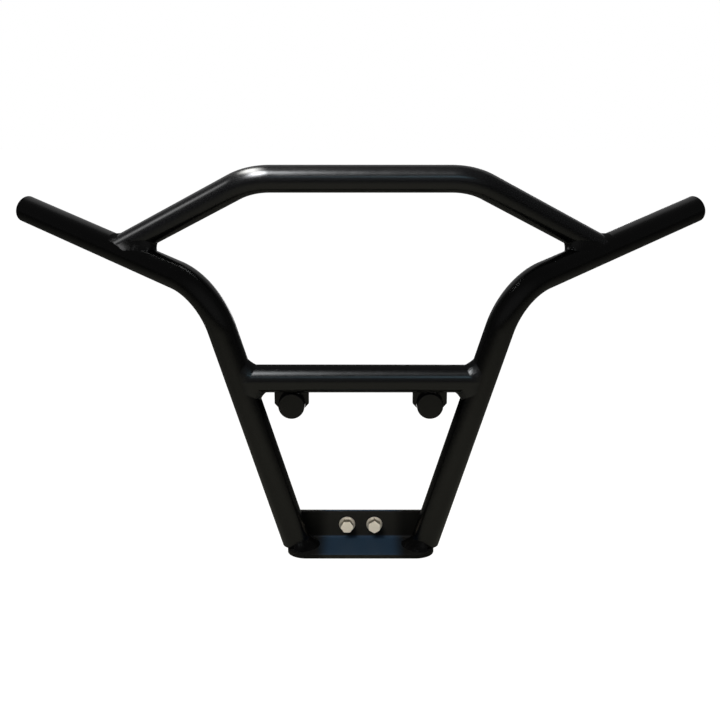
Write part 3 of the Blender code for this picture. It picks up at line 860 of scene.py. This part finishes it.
def addNoise(nodes, links, scale, detail):
    # noise in the piece's own metres
    place = nodes.new("ShaderNodeTexCoord")
    noise = nodes.new("ShaderNodeTexNoise")
    noise.inputs["Scale"].default_value = scale
    noise.inputs["Detail"].default_value = detail
    links.new(place.outputs["Object"], noise.inputs["Vector"])
    return noise.outputs["Fac"]


def remapped(nodes, links, value, before, after=(0, 1), smooth=False):
    # takes one span of values to another and holds it at both ends
    remap = nodes.new("ShaderNodeMapRange")
    if smooth:
        remap.interpolation_type = "SMOOTHSTEP"
    remap.inputs["From Min"].default_value = before[0]
    remap.inputs["From Max"].default_value = before[1]
    remap.inputs["To Min"].default_value = after[0]
    remap.inputs["To Max"].default_value = after[1]
    links.new(value, remap.inputs["Value"])
    return remap.outputs["Result"]


def mixed(nodes, links, factor, low, high, kind="FLOAT"):
    # low and high are sockets or plain values
    mix = nodes.new("ShaderNodeMix")
    mix.data_type = kind
    links.new(factor, mix.inputs["Factor"])
    for name, value in (("A", low), ("B", high)):
        socket = next(s for s in mix.inputs if s.name == name and s.enabled)
        if isinstance(value, bpy.types.NodeSocket):
            links.new(value, socket)
        else:
            socket.default_value = value
    return next(s for s in mix.outputs if s.enabled)


powder = {
    "colour": (0.0025, 0.0025, 0.0027),
    "roughness": (0.21, 0.26),
    "patchScale": 160,
    "patchDetail": 3,
    "peelScale": 700,
    "peelDetail": 1,
    "peelStrength": 0.25,
    "peelHeight": 0.00003,
}

noiseSpan = (0.3, 0.7)        # nearly all of a noise lies between these


def powderCoat():
    # satin black, with the faint orange peel of a baked powder
    material, nodes, links, shader = newMaterial("powderCoat")
    shader.inputs["Base Color"].default_value = (*powder["colour"], 1)
    patches = addNoise(nodes, links, powder["patchScale"], powder["patchDetail"])
    roughness = remapped(nodes, links, patches, noiseSpan, powder["roughness"])
    links.new(roughness, shader.inputs["Roughness"])
    peel = addNoise(nodes, links, powder["peelScale"], powder["peelDetail"])
    bump = nodes.new("ShaderNodeBump")
    bump.inputs["Strength"].default_value = powder["peelStrength"]
    bump.inputs["Distance"].default_value = powder["peelHeight"]
    links.new(peel, bump.inputs["Height"])
    links.new(bump.outputs["Normal"], shader.inputs["Normal"])
    return material


sheetDullnessAndPaintedLight = {
    "sheen": 0.1,
    # painted light: the web is painted lighter than the coat between the feet, where the legs cast no
    # shade
    "paintedWebLight": (0.0180, 0.0165, 0.0138),
    "webRoughness": 0.35,
    # painted light: the bluish light from above, painted on the faces that look up
    "paintedSkylight": (0.015, 0.029, 0.048),
    "upFacingRoughness": 0.6,
    "paintedSkylightTilt": (0.0, 0.45),       # how far up a face has to look for none and for all of it
    "footShade": (0.0052, 0.0048, 0.0042),
    "footSpan": (0.037, 0.057),     # off the middle: where the feet's shade starts and is full
}


def plateCoat():
    # between the feet the same coat is dull and painted lighter, faces that look up carry a painted
    # bluish skylight, and beside the feet it has painted shade
    material = powderCoat()
    material.name = "plateCoat"
    nodes, links = material.node_tree.nodes, material.node_tree.links
    shader = nodes["Principled BSDF"]
    place = nodes.new("ShaderNodeTexCoord")
    normalParts = nodes.new("ShaderNodeSeparateXYZ")
    links.new(place.outputs["Normal"], normalParts.inputs["Vector"])
    # faces that look up get the painted skylight and the rougher finish
    upFacing = remapped(nodes, links, normalParts.outputs["Z"], sheetDullnessAndPaintedLight["paintedSkylightTilt"])
    placeParts = nodes.new("ShaderNodeSeparateXYZ")
    links.new(place.outputs["Object"], placeParts.inputs["Vector"])
    fromMiddle = nodes.new("ShaderNodeMath")
    fromMiddle.operation = "ABSOLUTE"
    links.new(placeParts.outputs["X"], fromMiddle.inputs[0])
    atFoot = remapped(nodes, links, fromMiddle.outputs["Value"], sheetDullnessAndPaintedLight["footSpan"], smooth=True)
    litWeb, skyPaint, shade = ((*sheetDullnessAndPaintedLight[key], 1) for key in ("paintedWebLight", "paintedSkylight", "footShade"))
    # the painted skylight on faces that look up, then the painted shade beside the feet
    colour = mixed(nodes, links, upFacing, litWeb, skyPaint, "RGBA")
    colour = mixed(nodes, links, atFoot, colour, shade, "RGBA")
    links.new(colour, shader.inputs["Base Color"])
    dull = mixed(nodes, links, upFacing, sheetDullnessAndPaintedLight["webRoughness"], sheetDullnessAndPaintedLight["upFacingRoughness"])
    links.new(dull, shader.inputs["Roughness"])
    shader.inputs["Specular IOR Level"].default_value = sheetDullnessAndPaintedLight["sheen"]
    return material


def patchyFinish(name, finish):
    # one colour, its roughness wandering in fine patches
    material, nodes, links, shader = newMaterial(name)
    shader.inputs["Base Color"].default_value = (*finish["colour"], 1)
    shader.inputs["Metallic"].default_value = finish["metallic"]
    patches = addNoise(nodes, links, finish["patchScale"], finish["patchDetail"])
    roughness = remapped(nodes, links, patches, noiseSpan, finish["roughness"])
    links.new(roughness, shader.inputs["Roughness"])
    return material


zinc = {
    "colour": (0.93, 0.86, 0.73),
    "metallic": 0.75,
    "roughness": (0.42, 0.58),
    "patchScale": 500,
    "patchDetail": 4,
}

mouldedPlastic = {
    "colour": (0.010, 0.010, 0.011),
    "metallic": 0,
    "roughness": (0.42, 0.55),
    "patchScale": 700,
    "patchDetail": 2,
}

studio = {
    "camera": (-0.0009, -1.445, 0.6048),
    "cameraTilt": 75,
    "lens": 60,
    "sensor": 36,
    "floorDrop": 0.06,
    "floorHalf": 6.0,
    "floorColour": (0.3, 0.3, 0.3),
    "floorRoughness": 0.9,
    "roomGlow": 0.06,
    "frontGlow": 0.14,
    "frontSpan": (-1.0, -0.4),      # from straight ahead of the object to where that glow ends
}


def makeFloor():
    bpy.ops.object.select_all(action="DESELECT")
    width = 2 * studio["floorHalf"]
    bpy.ops.mesh.primitive_plane_add(size=width, location=(0, 0, -studio["floorDrop"]))
    floor = settle("floor")
    material, nodes, links, shader = newMaterial("paleFloor")
    shader.inputs["Base Color"].default_value = (*studio["floorColour"], 1)
    shader.inputs["Roughness"].default_value = studio["floorRoughness"]
    shader.inputs["Emission Color"].default_value = (1, 1, 1, 1)
    light = nodes.new("ShaderNodeLightPath")
    links.new(light.outputs["Is Camera Ray"], shader.inputs["Emission Strength"])
    floor.data.materials.append(material)


def makeWorld():
    # white behind the object for the camera, a dim room for all else, less dim in front
    world = bpy.data.worlds.new("studio")
    world.use_nodes = True
    nodes, links = world.node_tree.nodes, world.node_tree.links
    background = nodes["Background"]
    background.inputs["Color"].default_value = (1, 1, 1, 1)
    direction = nodes.new("ShaderNodeTexCoord")
    split = nodes.new("ShaderNodeSeparateXYZ")
    links.new(direction.outputs["Generated"], split.inputs["Vector"])
    glows = (studio["frontGlow"], studio["roomGlow"])
    room = remapped(nodes, links, split.outputs["Y"], studio["frontSpan"], glows, smooth=True)
    light = nodes.new("ShaderNodeLightPath")
    brighter = nodes.new("ShaderNodeMath")
    brighter.operation = "MAXIMUM"
    links.new(light.outputs["Is Camera Ray"], brighter.inputs[0])
    links.new(room, brighter.inputs[1])
    links.new(brighter.outputs["Value"], background.inputs["Strength"])
    bpy.context.scene.world = world


crossbars = ["topHoop", "crossTube", "crossWeldLeft", "crossWeldRight", "basePlate"]
faintWelds = ["hoopWeldLeft", "hoopWeldRight", "footWeldLeft", "footWeldRight"]
hoopPieces = ["topHoop", "hoopWeldLeft", "hoopWeldRight"]
bentTubes = ["topHoop", "crossTube", "sideTubeLeft", "sideTubeRight"]
outline = ["topHoop", "sideTubeLeft", "sideTubeRight", "wingPlugLeft", "wingPlugRight"]
boltHeads = ["baseBoltLeft", "baseBoltRight"]
rearParts = ["baseNut", "baseWasher", "baseBolt", "armBush", "armTube", "armYoke", "yokeWeld"]
fromBehind = [part + side for part in rearParts for side in sides] + ["basePlate"]

# each softbox lights only the pieces named with it
softboxes = {
    "key": {
        "place": (-0.82, -1.3, 2.0), "target": (-0.1, 0, 0.4), "size": (1.5, 2.3),
        "watts": 230, "colour": (0.97, 1.0, 1.02), "only": crossbars,
    },
    "keyCore": {
        "place": (-0.74, -1.0, 2.0), "target": (-0.1, 0, 0.4), "size": (1.2, 1.4),
        "watts": 235, "colour": (0.98, 1.0, 1.02), "only": ["topHoop"],
    },
    "keyMiddle": {
        "place": (0.3, -1.35, 2.1), "target": (0, 0, 0.4), "size": (1.1, 0.9),
        "watts": 2, "colour": (0.95, 1.0, 1.0), "only": crossbars + faintWelds,
    },
    "skylight": {
        "place": (0.7, -3.0, 1.75), "target": (0, 0, 0.3), "size": (3.6, 0.7),
        "watts": 25, "colour": (0.45, 0.8, 1.0), "only": crossbars,
    },
    "overhead": {
        "place": (-0.84, 0.1, 1.95), "target": (-0.1, 0.1, 0.4), "size": (2.4, 1.0),
        "watts": 225, "colour": (1.0, 1.0, 0.97), "only": ["topHoop"],
    },
    "sideGlow": {
        "place": (-2.2, 0.0, 1.15), "target": (-0.2, 0, 0.4), "size": (1.0, 1.2),
        "watts": 17, "colour": (1.0, 1.0, 1.0), "only": hoopPieces,
    },
    "backdrop": {
        "place": (0, 3.0, 1.9), "target": (0, 0, 0.3), "size": (6.0, 3.6),
        "watts": 18, "colour": (1.0, 1.0, 1.0), "only": outline, "even": True,
    },
    "rearLight": {
        "place": (-0.9, 2.2, 1.3), "target": (0, 0, 0.1), "size": (1.6, 1.2),
        "watts": 110, "colour": (1.0, 1.0, 0.98), "only": fromBehind,
    },
    "rearFill": {
        "place": (0.6, 2.6, 0.3), "target": (0, 0, 0.25), "size": (1.8, 0.9),
        "watts": 22, "colour": (1.0, 1.0, 1.0), "only": fromBehind + bentTubes,
    },
    "boltLight": {
        "place": (0, -2.0, 0.1), "target": (0, 0, 0), "size": (0.9, 0.3),
        "watts": 49, "colour": (1.0, 0.98, 0.94), "only": boltHeads,
    },
    "floorPool": {
        "place": (0, -0.45, 0.75), "target": (0, -0.45, 0), "size": (2.2, 0.9),
        "watts": 37, "colour": (1.0, 0.98, 0.80), "only": ["floor"],
    },
}


def fadeToEdges(lamp):
    # a softbox is brightest in the middle of its cloth
    lamp.use_nodes = True
    nodes, links = lamp.node_tree.nodes, lamp.node_tree.links
    cloth = nodes.new("ShaderNodeNewGeometry")
    fromMiddle = nodes.new("ShaderNodeVectorMath")
    fromMiddle.operation = "DISTANCE"
    middle = Vector((0.5, 0.5, 0))
    fromMiddle.inputs[1].default_value = middle
    links.new(cloth.outputs["Parametric"], fromMiddle.inputs[0])
    fade = remapped(nodes, links, fromMiddle.outputs["Value"], (0, middle.x), (1, 0), smooth=True)
    links.new(fade, nodes["Emission"].inputs["Strength"])


def addSoftbox(name, box):
    lamp = bpy.data.lights.new(name, "AREA")
    lamp.shape = "RECTANGLE"
    lamp.size, lamp.size_y = box["size"]
    lamp.energy = box["watts"]
    lamp.color = box["colour"]
    if "even" not in box:
        fadeToEdges(lamp)
    holder = bpy.data.objects.new(name, lamp)
    place, target = Vector(box["place"]), Vector(box["target"])
    holder.location = place
    holder.rotation_euler = (target - place).to_track_quat("-Z", "Y").to_euler()
    bpy.context.scene.collection.objects.link(holder)
    lit = bpy.data.collections.new(name + "Lights")
    for piece in box["only"]:
        lit.objects.link(bpy.data.objects[piece])
    holder.light_linking.receiver_collection = lit


def makeCamera():
    camera = bpy.data.objects.new("camera", bpy.data.cameras.new("camera"))
    camera.location = studio["camera"]
    camera.rotation_euler = (math.radians(studio["cameraTilt"]), 0, 0)
    camera.data.lens = studio["lens"]
    camera.data.sensor_width = studio["sensor"]
    bpy.context.scene.collection.objects.link(camera)
    bpy.context.scene.camera = camera


def makeStudio():
    makeFloor()
    makeWorld()
    for name, box in softboxes.items():
        addSoftbox(name, box)
    makeCamera()
    bpy.context.scene.view_settings.view_transform = "Standard"


coat = powderCoat()
sheet = plateCoat()
steel = patchyFinish("zincSteel", zinc)
plastic = patchyFinish("blackPlastic", mouldedPlastic)
makeHoop(coat)
makeCrossTube(coat)
finishBasePlate(makeBasePlate(), sheet)
for side, sign in sides.items():
    makeSideTube(side, sign, coat)
    makePlug(side, sign, plastic)
    makeArm(side, sign, coat, steel)
    makeYoke(side, sign, coat)
    makeBolt(side, sign, steel)
    makeWasher(side, sign, steel)
    makeNut(side, sign, steel)
print("tubes, plate and fittings made")
for side, sign in sides.items():
    makeTubeWelds(side, sign, coat)
    makeFootWeld(side, sign, coat)
    makeArmWelds(side, sign, coat)
print("weld beads laid")
makeStudio()
print("studio lit")
